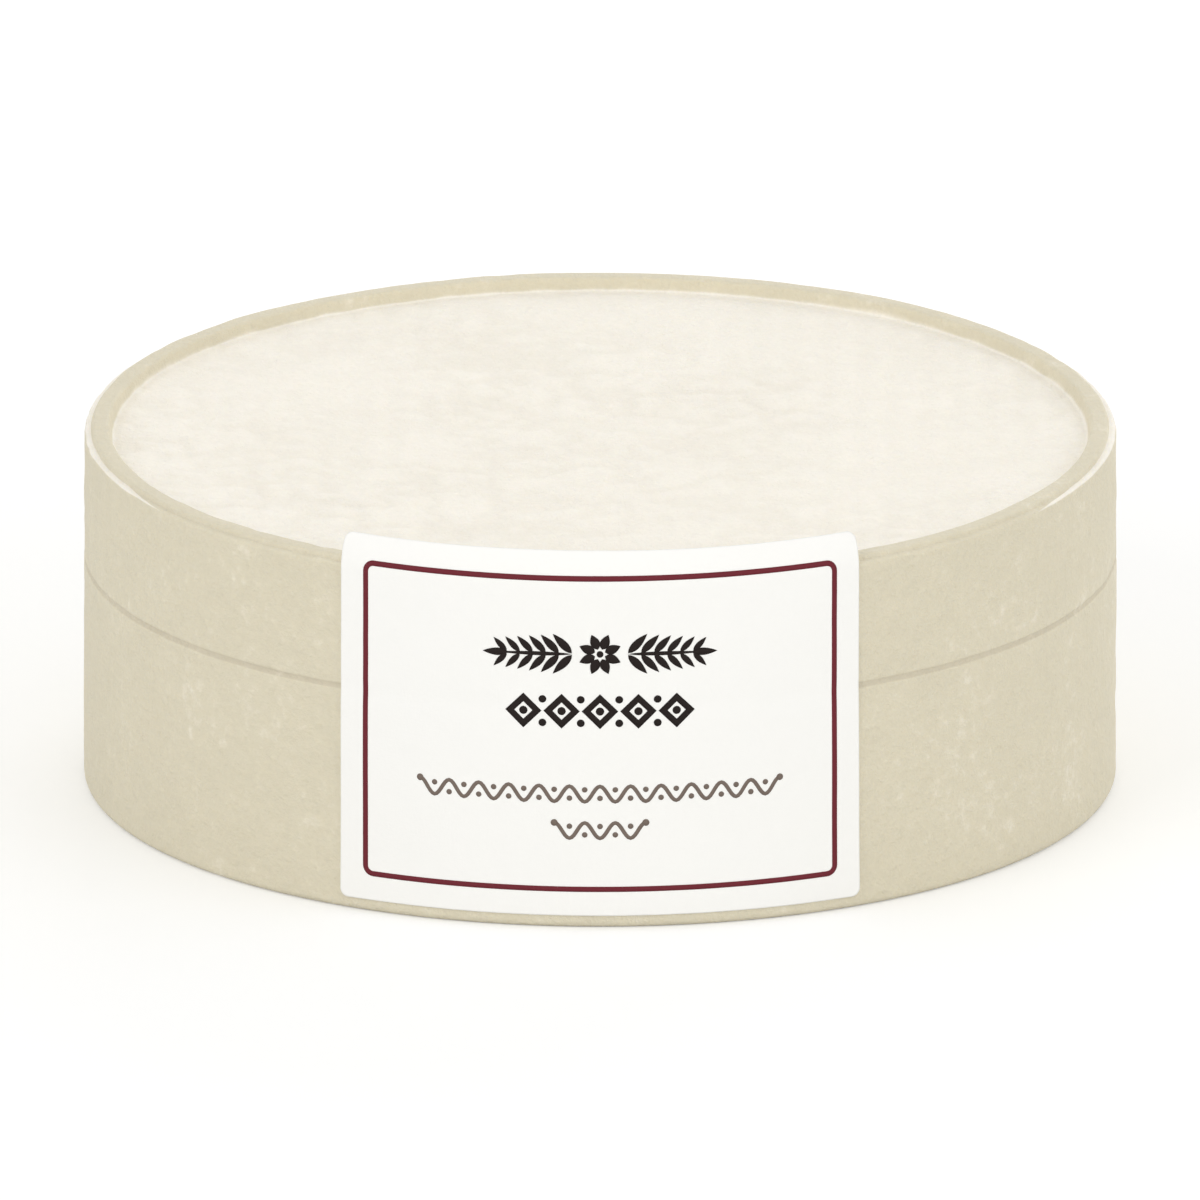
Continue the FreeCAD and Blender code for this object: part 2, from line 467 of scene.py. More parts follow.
def rind_material(wheel, colours):
    """Bloomy rind: thick ivory bloom on the top and the shoulder; on the rim and the wall a thinner bloom,
    its darker colour painted shade.
    """
    material, nodes, shader, place = new_material("bloomy_rind")
    x, y, z = nodes.split(place)
    radius = nodes.length(nodes.joined(x, y))

    wobble = nodes.noise(place, 6 * MM, wheel.seed, detail=3.0) * (0.10 * MM)
    rim_foot = wheel.radius - wheel.rim_set_in - wheel.rim_width - wheel.rim_slope
    # The ivory lies on the top and, at the sides, on the shoulder's up-facing ledge; the rim and the wall
    # keep the darker ground, painted shade
    on_top = nodes.step(radius + wobble - rim_foot, *TOP_BLOOM)
    at_side = nodes.step(y + wobble * 14.0, *SIDE_BLOOM)
    ledge = wheel.radius - at_side * wheel.rim_set_in
    outside = nodes.step(radius + wobble * 0.5 - ledge, *LEDGE_BLOOM)
    high = nodes.step(z + wobble * 0.5 - (wheel.crest - wheel.rim_rise), *SHOULDER_BLOOM)
    shoulder = outside * high * nodes.step(at_side, 0.0, 0.2)

    valleys = wrinkled(nodes, place, wheel.wrinkle_width, wheel.seed)
    patches = nodes.noise(place, 11 * MM, wheel.seed + 5, detail=4.0, roughness=0.6)
    flecks = nodes.noise(place, 1.3 * MM, wheel.seed + 9, detail=3.0, roughness=0.65)
    fuzz = nodes.noise(place, 0.5 * MM, wheel.seed + 13, roughness=0.6)
    patchy = nodes.step(flecks + patches * 0.9 - valleys * 0.15, 0.12, 0.9) * colours.patchiness
    # Thin spots gather in the wrinkles' valleys, where the darker ground shows: wear, and painted shade in
    # the hollows
    worn = nodes.step(flecks * 0.7 - patches * 0.6 + valleys * 0.7, -0.1, 1.3) * colours.thin_spots
    bloom = nodes.largest(nodes.largest(on_top, shoulder), patchy) * (1.0 - worn)

    crease = crease_line(nodes, place, wheel.crease_height, wheel.crease_sway, wheel.seed)
    away = nodes.unsigned(z - crease) + wobble * 0.3
    # Where the crease's painted shade lies
    crease_shade_mask = nodes.step(away, wheel.crease_width * 0.62, wheel.crease_width * 0.38)
    on_wall = nodes.step(radius, wheel.radius - 1.0 * MM, wheel.radius - 0.6 * MM)

    # The rim and the wall take the darker ground, painted shade, and the crease a darker colour still
    shaded_ground = nodes.mixed(crease_shade_mask * on_wall, rgba(colours.shaded_ground), rgba(colours.crease))
    coat = nodes.mixed(bloom, shaded_ground, rgba(colours.bloom))
    mat = matted(nodes, place, wheel.mat_pitch, wheel.seed) * on_top
    # Painted shade and light on the relief: darker in the wrinkles' valleys and between the mat's ridges,
    # lighter on the ridges; patches, flecks and fuzz are the rind's own mottling
    brightness = colours.lightness - valleys * 0.016 + mat * 0.012
    brightness = brightness + patches * 0.04 + flecks * 0.04 + fuzz * 0.05

    nap = nodes.noise(place, 0.22 * MM, wheel.seed + 21, roughness=0.6)
    skin = nodes.noise(place, 1.6 * MM, wheel.seed + 27, detail=3.0, roughness=0.55)
    relief = skin * 0.13 + flecks * 0.09 + fuzz * 0.06 + nap * 0.03
    even = {
        "Specular IOR Level": 0.22,
        "Sheen Weight": 0.06,
        "Sheen Roughness": 0.55,
        "Subsurface Weight": 0.15,
        "Subsurface Radius": (1.0, 0.85, 0.6),
        "Subsurface Scale": 0.8 * MM,
    }
    coated(nodes, shader, nodes.scaled(coat, brightness), relief, 0.86 + fuzz * 0.05, even)
    return material


def paper_material(colours):
    """Uncoated off-white paper with short fibres."""
    material, nodes, shader, place = new_material("label_paper")
    x, y, z = nodes.split(place)
    along = nodes.noise(nodes.joined(x * 0.35, y * 0.35, z), 0.25 * MM, 2.0, detail=3.0, roughness=0.6)
    across = nodes.noise(nodes.joined(x, y, z * 0.3), 0.22 * MM, 6.0, detail=3.0, roughness=0.6)
    fibres = along + across
    cloud = nodes.noise(place, 7 * MM, 11.0, detail=3.0)
    coat = nodes.scaled(tuple(colours.paper), 0.986 + fibres * 0.007 + cloud * 0.008)
    relief = fibres * 0.010 + cloud * 0.02
    coated(nodes, shader, coat, relief, 0.68 + fibres * 0.04, {"Specular IOR Level": 0.3})
    return material


def ink_material(name, ink, seed):
    """Matt ink that sinks into the paper a little unevenly."""
    material, nodes, shader, place = new_material(name)
    grain = nodes.noise(place, 0.18 * MM, seed, detail=3.0, roughness=0.6)
    cloud = nodes.noise(place, 4 * MM, seed + 4)
    coat = nodes.scaled(tuple(ink), 1.0 + grain * 0.10 + cloud * 0.06)
    coated(nodes, shader, coat, grain * 0.008, 0.55 + grain * 0.06, {"Specular IOR Level": 0.05})
    return material


# ---------------- relief

STANDING = (0.1 * MM, 2.5 * MM)  # the skin is flat up to the first height, fully uneven from the second


def wrinkled(nodes, place, width, seed):
    """The rind's wrinkles: 0 on soft lobes and 1 in the winding valleys between them, fainter in patches."""
    valleys = nodes.unsigned(nodes.noise(place, width, seed + 31.0, roughness=0.45))
    faint = nodes.step(nodes.noise(place, width * 4.5, seed + 33.0, detail=1.0), -0.45, 0.3)
    return nodes.step(valleys, 0.26, 0.0) * (0.25 + 0.75 * faint)


def matted(nodes, place, pitch, seed):
    """The marks of the draining mat: -1 between its ridges, 1 on them, faded where they are worn."""
    sway = nodes.noise(place, 24 * MM, seed + 37.0, detail=1.0) * (1.5 * MM)
    worn = nodes.step(nodes.noise(place, 17 * MM, seed + 41.0), -0.35, 0.5)
    return nodes.math("SINE", (nodes.split(place)[0] + sway) / pitch * math.tau) * worn


def crease_line(nodes, place, height, sway, seed):
    """The crease's height at a place on the wall."""
    x, y, _ = nodes.split(place)
    return height + nodes.noise(nodes.joined(x, y), 30 * MM, seed + 45.0, detail=1.0) * sway


def unevenness(wheel):
    """A node group: how far the wheel's skin stands out at a place on it. It stands flat on its base."""
    name = "Unevenness"
    if name in bpy.data.node_groups:
        return bpy.data.node_groups[name]
    inputs = {"Place": (), **sizes(wheel, "broad_relief", "close_relief", "seed")}
    tree = GeometryTree(name, inputs, "NodeSocketFloat")
    place = tree.given("Place")
    seed = tree.given("Seed")
    broad = tree.noise(place, 34 * MM, seed, detail=1.0) * tree.given("Broad relief")
    close = tree.noise(place, 9 * MM, seed + 3.0) * tree.given("Close relief")
    return tree.returns((broad + close) * tree.step(tree.split(place)[2], *STANDING))


def lip(wheel, label):
    """The paper's free upper part: the height of its foot, and the radius of its lean."""
    foot = wheel.crest - wheel.rim_rise - wheel.shoulder_round
    free = wheel.crest + label.rise - foot
    return foot, (free * free + label.lean * label.lean) / (2 * label.lean)


def flat_height(wheel, label):
    """Height of the label before it is bent."""
    foot, bend = lip(wheel, label)
    return foot - label.lift + bend * math.asin((wheel.crest + label.rise - foot) / bend)


def wrap(wheel, label):
    """A node group: where a place on the flat label lies once the label is on the wheel.

    Flat places have x along the wall, y up from the label's lower edge and z off the wall.
    """
    name = "Wrap"
    if name in bpy.data.node_groups:
        return bpy.data.node_groups[name]
    foot, lean_radius = lip(wheel, label)
    inputs = {
        "Flat": (),
        "Straight": foot - label.lift,
        "Bend": lean_radius,
        "Half width": wheel.radius * label.turn / 2,
        "Height": flat_height(wheel, label),
        "Dip width": 0.9 * MM,
        **sizes(wheel, "radius", "crease_height", "seed"),
        **sizes(label, "lift", "lip_sway", "corner_lift", "crease_dip"),
    }
    tree = GeometryTree(name, inputs, "NodeSocketVector")
    along, up, off = tree.split(tree.given("Flat"))
    radius, straight, bend, tall = (tree.given(part) for part in ("Radius", "Straight", "Bend", "Height"))
    turn = along / radius
    over = tree.largest(up - straight, 0.0) / bend
    level = tree.math("MINIMUM", up, straight) + tree.given("Lift")
    around = tree.joined(tree.math("SINE", turn), -tree.math("COSINE", turn))

    near_side = tree.math("POWER", tree.unsigned(along) / tree.given("Half width"), 14.0)
    near_foot = tree.math("POWER", tree.largest(1.0 - up / tall, 0.0), 7.0)
    lifted = near_side * (0.15 + 0.85 * near_foot) * tree.given("Corner lift")
    dent = (level - tree.given("Crease height")) / tree.given("Dip width")
    dip = tree.math("EXPONENT", -(dent * dent)) * tree.given("Crease dip")
    sway = tree.noise(tree.joined(along), 19 * MM, tree.given("Seed") + 51.0, detail=1.0)
    free = tree.largest((up - straight) / (tall - straight), 0.0)
    swayed = sway * tree.given("Lip sway") * free * free
    skin = tree.grouped(unevenness(wheel), {"Place": placed(tree, around, radius, level)})

    out = bend + (off + lifted - dip + swayed + skin)
    away = radius - bend + out * tree.math("COSINE", over)
    return tree.returns(placed(tree, around, away, level + out * tree.math("SINE", over)))


def placed(tree, around, away, height):
    """The place in one direction from the axis, at a distance from it and a height."""
    sides = {0: tree.scaled(around, away), 1: tree.joined(z=height)}
    return tree.made("ShaderNodeVectorMath", sides, operation="ADD")


def wrapped(tree, geometry, wheel, label, off=0.0):
    """Flat geometry put on the wheel, its own height and a given one off its wall."""
    x, y, z = tree.split(tree.position())
    return tree.moved(geometry, tree.grouped(wrap(wheel, label), {"Flat": tree.joined(x, y, off + z)}))


# ---------------- wheel

WALL_PITCH = 0.72 * MM  # from one ring of the wall's mesh to the next
CREASE_RINGS = 16
CREASE_REACH = 3 * MM  # how far from the crease the wall strays with it
TOP_FADE = 0.985  # share of the top's radius up to which its relief is full


def arc(centre, size, start, end, steps):
    """Points along an arc, its angles in degrees."""
    angles = [math.radians(start + (end - start) * i / steps) for i in range(steps + 1)]
    return [(centre[0] + size * math.cos(a), centre[1] + size * math.sin(a)) for a in angles]


def spaced(radius, high, low):
    """Points down a straight wall, without its first one."""
    rings = max(1, round((high - low) / WALL_PITCH))
    return [(radius, high + (low - high) * i / rings) for i in range(1, rings + 1)]


def half_section(wheel):
    """Radius and height of the skin from the edge of the top, over the rim and down the wall, to the base."""
    outer = wheel.radius - wheel.rim_set_in
    inner = outer - wheel.rim_width
    foot = inner - wheel.rim_slope
    top = wheel.crest - wheel.top_sink
    ledge = wheel.crest - wheel.rim_rise
    small = wheel.crest_round
    cove = wheel.top_round
    points = [(foot - away * cove, top) for away in (3.2, 2.2, 1.5)]
    points += arc((foot - cove, top + cove), cove, 270, 350, 5)
    points += arc((inner + small, wheel.crest - small), small, 170, 90, 5)
    points += arc((outer - small, wheel.crest - small), small, 90, 10, 5)
    points += [(outer + 0.03 * MM, ledge + 0.05 * MM), (outer + 0.12 * MM, ledge)]
    wall_top = ledge - wheel.shoulder_round
    points += arc((wheel.radius - wheel.shoulder_round, wall_top), wheel.shoulder_round, 84, 0, 7)

    crease_top = wheel.crease_height + 1.5 * wheel.crease_width
    crease_foot = wheel.crease_height - 1.5 * wheel.crease_width
    points += spaced(wheel.radius, wall_top, crease_top)
    for i in range(1, CREASE_RINGS):
        height = crease_top + (crease_foot - crease_top) * i / CREASE_RINGS
        away = abs(height - wheel.crease_height) / (wheel.crease_width / 2)
        points.append((wheel.radius - wheel.crease_depth * math.exp(-0.9 * away**4), height))
    points.append((wheel.radius, crease_foot))
    points += spaced(wheel.radius, crease_foot, wheel.base_round)
    base_edge = wheel.radius - wheel.base_round
    points += arc((base_edge, wheel.base_round), wheel.base_round, 0, -90, 7)
    return points + [(base_edge - 0.7 * MM, 0.0), (base_edge - 1.5 * MM, 0.0)]


def disc(tree, cells, radius, height, dish):
    """A round sheet of even cells: a square grid pressed into a circle, sunken by dish in the middle."""
    across = cells + 1.0
    sides = {"Size X": 2.0, "Size Y": 2.0, "Vertices X": across, "Vertices Y": across}
    grid = tree.made("GeometryNodeMeshGrid", sides)
    a, b, _ = tree.split(tree.position())
    sideways = tree.math("GREATER_THAN", tree.unsigned(a), tree.unsigned(b))
    largest = tree.largest(tree.unsigned(a), tree.unsigned(b))
    main = a * sideways + b * (1.0 - sideways)
    other = b * sideways + a * (1.0 - sideways)
    turn = other / main * (math.pi / 4)
    along = tree.math("COSINE", turn) * main
    aside = tree.math("SINE", turn) * main
    x = along * sideways + aside * (1.0 - sideways)
    y = aside * sideways + along * (1.0 - sideways)
    sheet = tree.moved(grid, tree.joined(x * radius, y * radius, height - dish * (1.0 - largest * largest)))
    return tree.made("GeometryNodeTriangulate", {"Mesh": sheet}, quad_method="SHORTEST_DIAGONAL")


def wheel_tree(rows, material, wheel, inputs):
    """Turns a half section about the axis, closes it with a top and a base, and gives it a rind's relief."""
    tree = GeometryTree("Turned wheel", inputs)
    cells = tree.given("Disc cells")
    turns = cells * 4.0
    wall = tree.made("GeometryNodeMeshGrid", {"Vertices X": turns + 1.0, "Vertices Y": rows})
    index = tree.made("GeometryNodeInputIndex")
    row = tree.math("FLOORED_MODULO", index, float(rows))
    turn = tree.math("FLOOR", (index + 0.5) / float(rows)) / turns * -math.tau
    ring = {"Geometry": tree.given("Half section"), "Value": tree.position(), "Index": row}
    ring = tree.made("GeometryNodeSampleIndex", ring, data_type="FLOAT_VECTOR", domain="POINT")
    radius, _, height = tree.split(ring)
    around = tree.joined(tree.math("COSINE", turn), tree.math("SINE", turn))
    wall = tree.moved(wall, placed(tree, around, radius, height))
    top_radius = tree.given("Top radius")
    top = disc(tree, cells, top_radius, tree.given("Top height"), tree.given("Top dish"))
    base = disc(tree, cells, tree.given("Base radius"), 0.0, 0.0)
    closed = tree.welded(wall, top, tree.flipped(base))

    place = tree.position()
    x, y, z = tree.split(place)
    seed = tree.given("Seed")
    height = tree.given("Crease height")
    near = (z - height) / tree.given("Crease reach")
    strayed = crease_line(tree, place, height, tree.given("Crease sway"), seed) - height
    swayed = tree.shifted(closed, tree.joined(z=strayed * tree.math("EXPONENT", -(near * near))))

    on_top = tree.step(tree.length(tree.joined(x, y)), top_radius, top_radius * TOP_FADE)
    wrinkles = wrinkled(tree, place, tree.given("Wrinkle width"), seed) * tree.given("Wrinkle relief")
    wrinkles = wrinkles * tree.largest(on_top, tree.given("Wall wrinkles"))
    ridges = matted(tree, place, tree.given("Mat pitch"), seed) * tree.given("Mat relief") * on_top
    uneven = tree.grouped(unevenness(wheel), {"Place": place})
    skin = uneven + (ridges - wrinkles) * tree.step(z, *STANDING)
    relief = tree.shifted(swayed, tree.scaled(tree.made("GeometryNodeInputNormal"), skin))
    return tree.finished(tree.shaded(relief), material)


class CHEESE_OT_wheel(bpy.types.Operator):
    """Build the wheel with its rim, sunken top and creased wall"""

    bl_idname = "cheese.wheel"
    bl_label = "Wheel"

    def execute(self, context):
        wheel = context.scene.cheese_wheel
        material = rind_material(wheel, context.scene.cheese_colours)
        section = half_section(wheel)
        rows = len(section)
        made = new_object("cheese_wheel", [(r, 0.0, z) for r, z in section], chain(rows))
        inputs = {
            "Half section": None,
            "Top radius": section[0][0],
            "Top height": section[0][1],
            "Base radius": section[-1][0],
            "Crease reach": CREASE_REACH,
            **sizes(wheel, "disc_cells", "top_dish", "crease_height", "crease_sway", "seed"),
            **sizes(wheel, "wrinkle_relief", "wrinkle_width", "wall_wrinkles", "mat_relief", "mat_pitch"),
        }
        grown(made, wheel_tree(rows, material, wheel, inputs), inputs)
        belongs(made, "rind", "cheese")
        return {"FINISHED"}


# ---------------- label

FINE_PITCH = 0.15 * MM  # the paper's mesh beside its edges
PITCH_ALONG = 0.7 * MM
PITCH_UP = 0.55 * MM


def ticks(low, high, fine, coarse, edge):
    """Rising numbers from low to high, finely spaced within edge of both ends."""
    near = max(2, round(edge / fine))
    far = max(1, round((high - low - 2 * edge) / coarse))
    first = [low + edge * i / near for i in range(near)]
    middle = [low + edge + (high - low - 2 * edge) * i / far for i in range(far + 1)]
    last = [high - edge * (near - 1 - i) / near for i in range(near)]
    return first + middle + last


def rounded(point, low, high, corner):
    """A point of a rectangle moved so that the rectangle's corners are round."""
    inner = [min(max(p, a + corner), b - corner) for p, a, b in zip(point, low, high)]
    away = [p - q for p, q in zip(point, inner)]
    if not all(away):
        return point
    shrink = max(map(abs, away)) / math.hypot(*away)
    return [q + part * shrink for q, part in zip(inner, away)]


class CHEESE_OT_label(bpy.types.Operator):
    """Build the paper label, glued round the wall, its free upper edge leaning in over the rim"""

    bl_idname = "cheese.label"
    bl_label = "Label"

    def execute(self, context):
        wheel = context.scene.cheese_wheel
        label = context.scene.cheese_label
        half = wheel.radius * label.turn / 2
        low, high = (-half, 0.0), (half, flat_height(wheel, label))
        columns = ticks(low[0], high[0], FINE_PITCH, PITCH_ALONG, label.corner)
        rows = ticks(low[1], high[1], FINE_PITCH, PITCH_UP, label.corner)
        places = [(*rounded((x, y), low, high, label.corner), 0.0) for y in rows for x in columns]
        across = len(columns)
        corners = [i + j * across for j in range(len(rows) - 1) for i in range(across - 1)]
        faces = [(i, i + 1, i + 1 + across, i + across) for i in corners]
        made = new_object("paper_label", places, (), faces)
        inputs = {"Flat sheet": None, **sizes(label, "thickness")}
        tree = GeometryTree("Glued paper", inputs)
        sheet = wrapped(tree, tree.given("Flat sheet"), wheel, label)
        thick = tree.thick(sheet, tree.given("Thickness"))
        grown(made, tree.finished(thick, paper_material(context.scene.cheese_colours)), inputs)
        belongs(made, "label_paper", "label")
        return {"FINISHED"}


# ---------------- print

WAVE_STEPS = 14  # in one wave's line
FRAME_PITCH = 0.6 * MM  # between the points of the frame's line
HEART = 2.5 * MM  # from the garland's middle to its stems
STEM_WIDTH = 0.42 * MM
TIP_LEAF = (2.3 * MM, 0.8 * MM)  # length and width
SIDE_LEAF = (2.8 * MM, 0.86 * MM)
LEAF_TURN = math.radians(46)
PETAL = (1.7 * MM, 0.98 * MM)
PETAL_START = 0.55 * MM  # from the garland's middle
HEART_PEARL = 0.7 * MM
LOZENGE_PEARL = 0.86 * MM
PAIRED_PEARL = 0.8 * MM
PAIR_RISE = 1.25 * MM  # from the row's middle to each pearl of a pair


def printed(tree, sheet, material, wheel, label):
    """Ends a tree with flat shapes printed on the label: wrapped with it and sunk a little into it."""
    soaked_in = tree.given("Soaked in")
    sheet = wrapped(tree, sheet, wheel, label, tree.given("Thickness") - soaked_in)
    return tree.finished(tree.thick(sheet, soaked_in + tree.given("Ink")), material)


def stroke_tree(name, inputs, material, wheel, label):
    """Gives each chain of edges a line's width and prints it."""
    tree = GeometryTree(name, inputs)
    path = tree.made("GeometryNodeMeshToCurve", {0: tree.given("Path")})
    level = tree.made("GeometryNodeSetCurveNormal", {0: path}, mode="Z_UP")
    half = tree.given("Line") * 0.5
    ends = {"Start": tree.joined(-half), "End": tree.joined(half)}
    across = tree.made("GeometryNodeCurvePrimitiveLine", ends)
    sheet = tree.made("GeometryNodeCurveToMesh", {"Curve": level, "Profile Curve": across})
    return printed(tree, sheet, material, wheel, label)


def motif_tree(name, inputs, material, wheel, label):
    """Prints one motif at every anchor, turned and sized as the anchor says."""
    tree = GeometryTree(name, inputs)
    motif = tree.made("GeometryNodeObjectInfo", {"Object": tree.given("Motif")}, "Geometry")
    turn = tree.made("GeometryNodeInputNamedAttribute", {"Name": "turn"}, data_type="FLOAT")
    size = tree.made("GeometryNodeInputNamedAttribute", {"Name": "size"}, data_type="FLOAT_VECTOR")
    placing = {"Points": tree.given("Anchors"), "Rotation": tree.joined(z=turn), "Scale": size}
    motifs = tree.made("GeometryNodeInstanceOnPoints", {"Instance": motif, **placing})
    real = tree.made("GeometryNodeRealizeInstances", {0: motifs})
    return printed(tree, real, material, wheel, label)


def print_piece(made, make_tree, own, ink_name, scene, seed):
    """Runs a tree that prints on the label, with the piece's own inputs, and ties the piece to the model."""
    paper = sizes(scene.cheese_label, "thickness")
    inputs = {**own, **paper, **sizes(scene.cheese_print, "ink", "soaked_in")}
    material = ink_material(made.name + "_ink", getattr(scene.cheese_colours, ink_name), seed)
    grown(made, make_tree(made.name, inputs, material, scene.cheese_wheel, scene.cheese_label), inputs)
    belongs(made, "label_ink")


def motif_piece(name, motif, anchors, ink_name, scene):
    """Prints a motif at anchors, each an (x, y, turn, length, width)."""
    places, faces = motif
    stencil = new_object(name + "_stencil", places, (), faces)
    made = new_object(name, [(x, y, i * HAIR) for i, (x, y, *_) in enumerate(anchors)])
    turns = made.data.attributes.new("turn", "FLOAT", "POINT")
    scales = made.data.attributes.new("size", "FLOAT_VECTOR", "POINT")
    for i, (_, _, turn, long, wide) in enumerate(anchors):
        turns.data[i].value = turn
        scales.data[i].vector = (long, wide, 1.0)
    print_piece(made, motif_tree, {"Anchors": None, "Motif": stencil}, ink_name, scene, seed=3.0)
    bpy.data.objects.remove(stencil)


def stroke_piece(name, paths, width, ink_name, scene):
    """Prints lines along paths, each a list of places and whether it is closed."""
    places, edges = [], []
    for path, closed in paths:
        edges += [(a + len(places), b + len(places)) for a, b in chain(len(path), closed)]
        places += [(x, y, 0.0) for x, y in path]
    made = new_object(name, places, edges)
    print_piece(made, stroke_tree, {"Path": None, "Line": width}, ink_name, scene, seed=7.0)


def chain(points, closed=False):
    """The edges that join points in order."""
    edges = [(i, i + 1) for i in range(points - 1)]
    return edges + [(points - 1, 0)] if closed else edges


def divided(path, pitch):
    """A closed path with its long runs cut into steps of about pitch."""
    cut = []
    for (x, y), (next_x, next_y) in zip(path, path[1:] + path[:1]):
        steps = max(1, round(math.hypot(next_x - x, next_y - y) / pitch))
        cut += [(x + (next_x - x) * i / steps, y + (next_y - y) * i / steps) for i in range(steps)]
    return cut


def lens(steps=10):
    """A leaf one metre long from its stalk at the origin, a metre wide, pointed at both ends."""
    places = [(0.0, 0.0, 0.0)]
    for i in range(1, steps):
        t = i / steps
        half = 0.5 * math.sin(math.pi * t**0.8) ** 0.9
        places += [(t, half, 0.0), (t, 0.0, 0.0), (t, -half, 0.0)]
    places.append((1.0, 0.0, 0.0))
    end = len(places) - 1
    faces = [(0, 2, 1), (0, 3, 2)]
    for a in range(1, end - 3, 3):
        faces += [(a, a + 1, a + 4, a + 3), (a + 1, a + 2, a + 5, a + 4)]
    return places, faces + [(end - 3, end - 2, end), (end - 2, end - 1, end)]


def dot(corners=16):
    """A round dot one metre across."""
    turns = [math.tau * i / corners for i in range(corners)]
    places = [(0.0, 0.0, 0.0)] + [(0.5 * math.cos(turn), 0.5 * math.sin(turn), 0.0) for turn in turns]
    return places, [(0, 1 + i, 1 + (i + 1) % corners) for i in range(corners)]


def lozenge(hole=0.5):
    """A lozenge one metre wide and high with a lozenge left open in it."""
    outline = divided([(0.5, 0.0), (0.0, 0.5), (-0.5, 0.0), (0.0, -0.5)], pitch=0.18)
    places = [(x * size, y * size, 0.0) for size in (1.0, hole) for x, y in outline]
    around = len(outline)
    faces = [(i, (i + 1) % around, around + (i + 1) % around, around + i) for i in range(around)]
    return places, faces


def frame_path(wheel, label, prints):
    """The middle of the frame's line, a closed path with round corners."""
    corner = prints.frame_corner
    low = prints.inset + prints.line / 2 + corner
    half = wheel.radius * label.turn / 2 - low
    high = flat_height(wheel, label) - low
    path = []
    for x, y, start in ((half, high, 0), (-half, high, 90), (-half, low, 180), (half, low, 270)):
        path += arc((x, y), corner, start, start + 90, 6)
    return divided(path, FRAME_PITCH)


def wave_path(width, height, prints):
    """The middle of a wave's line, with as many whole waves as fit."""
    waves = round(width / prints.wave_pitch)
    long = waves * prints.wave_pitch
    steps = waves * WAVE_STEPS
    path = []
    for i in range(steps + 1):
        rise = prints.wave_rise * math.cos(math.tau * waves * i / steps)
        path.append((long * i / steps - long / 2, height + rise))
    return path


def wave_pearls(width, height, prints):
    """A small dot in every hollow of a wave, and a larger one at both its ends."""
    waves = round(width / prints.wave_pitch)
    half = waves * prints.wave_pitch / 2
    size = prints.pearl
    pearls = [(side * half, height + prints.wave_rise, 0.0, size * 1.25, size * 1.25) for side in (1, -1)]
    for i in range(1, 2 * waves):
        off = prints.wave_rise * (0.55 if i % 2 == 1 else -0.55)
        pearls.append((i * prints.wave_pitch / 2 - half, height + off, 0.0, size, size))
    return pearls


def garland(prints):
    """Anchors of a garland: a leafy stem each way from the middle, and petals about the middle."""
    height = prints.garland_height
    reach = prints.garland_width / 2
    tip = TIP_LEAF[0]
    last = prints.leaf_pairs - 1
    anchors = []
    for way in (1, -1):
        flat = 0.0 if way == 1 else math.pi
        stem = HEART + 0.3 * MM
        anchors.append((way * stem, height, flat, reach - stem - tip * 0.5, STEM_WIDTH))
        anchors.append((way * (reach - tip - 0.35 * MM), height, flat, tip + 0.35 * MM, TIP_LEAF[1]))
        for i in range(prints.leaf_pairs):
            size = 1.0 - 0.3 * i / last
            x = way * (HEART + 0.35 * MM + (reach - tip - HEART - 0.55 * MM) * i / last)
            for side in (1, -1):
                turn = LEAF_TURN * side if way == 1 else math.pi - LEAF_TURN * side
                anchors.append((x, height + side * 0.1 * MM, turn, *(part * size for part in SIDE_LEAF)))
    for i in range(prints.petals):
        turn = math.tau * (i + 0.5) / prints.petals
        anchors.append((PETAL_START * math.cos(turn), height + PETAL_START * math.sin(turn), turn, *PETAL))
    return anchors


class CHEESE_OT_frame_line(bpy.types.Operator):
    """Print the frame's line round the label"""

    bl_idname = "cheese.frame_line"
    bl_label = "Frame line"

    def execute(self, context):
        scene = context.scene
        path = frame_path(scene.cheese_wheel, scene.cheese_label, scene.cheese_print)
        stroke_piece("frame_line", [(path, True)], scene.cheese_print.line, "frame_ink", scene)
        return {"FINISHED"}


class CHEESE_OT_bold_rows(bpy.types.Operator):
    """Print the two bold rows: a leaf garland and a row of lozenges"""

    bl_idname = "cheese.bold_rows"
    bl_label = "Bold rows"

    def execute(self, context):
        scene = context.scene
        prints = scene.cheese_print
        motif_piece("leaf_garland", lens(), garland(prints), "dark_ink", scene)
        size = prints.lozenge_size
        last = prints.lozenges - 1
        pitch = (prints.lozenge_width - size) / last
        across = [(i - last / 2) * pitch for i in range(prints.lozenges)]
        height = prints.lozenge_height
        row = [(x, height, 0.0, size, size) for x in across]
        motif_piece("lozenge_row", lozenge(), row, "dark_ink", scene)
        pearls = [(x, height, LOZENGE_PEARL) for x in across]
        for x in across[:-1]:
            pearls += [(x + pitch / 2, height + side * PAIR_RISE, PAIRED_PEARL) for side in (1, -1)]
        pearls.append((0.0, prints.garland_height, HEART_PEARL))
        anchors = [(x, y, 0.0, wide, wide) for x, y, wide in pearls]
        motif_piece("bold_pearls", dot(), anchors, "dark_ink", scene)
        return {"FINISHED"}


class CHEESE_OT_fine_rows(bpy.types.Operator):
    """Print the two fine rows: a long and a short wave with pearls"""

    bl_idname = "cheese.fine_rows"
    bl_label = "Fine rows"

    def execute(self, context):
        scene = context.scene
        prints = scene.cheese_print
        rows = ((prints.wave_width, prints.wave_height), (prints.tail_width, prints.tail_height))
        paths = [(wave_path(width, height, prints), False) for width, height in rows]
        stroke_piece("wave_rules", paths, prints.wave_line, "soft_ink", scene)
        pearls = [pearl for width, height in rows for pearl in wave_pearls(width, height, prints)]
        motif_piece("fine_pearls", dot(12), pearls, "soft_ink", scene)
        return {"FINISHED"}


# ---------------- stage

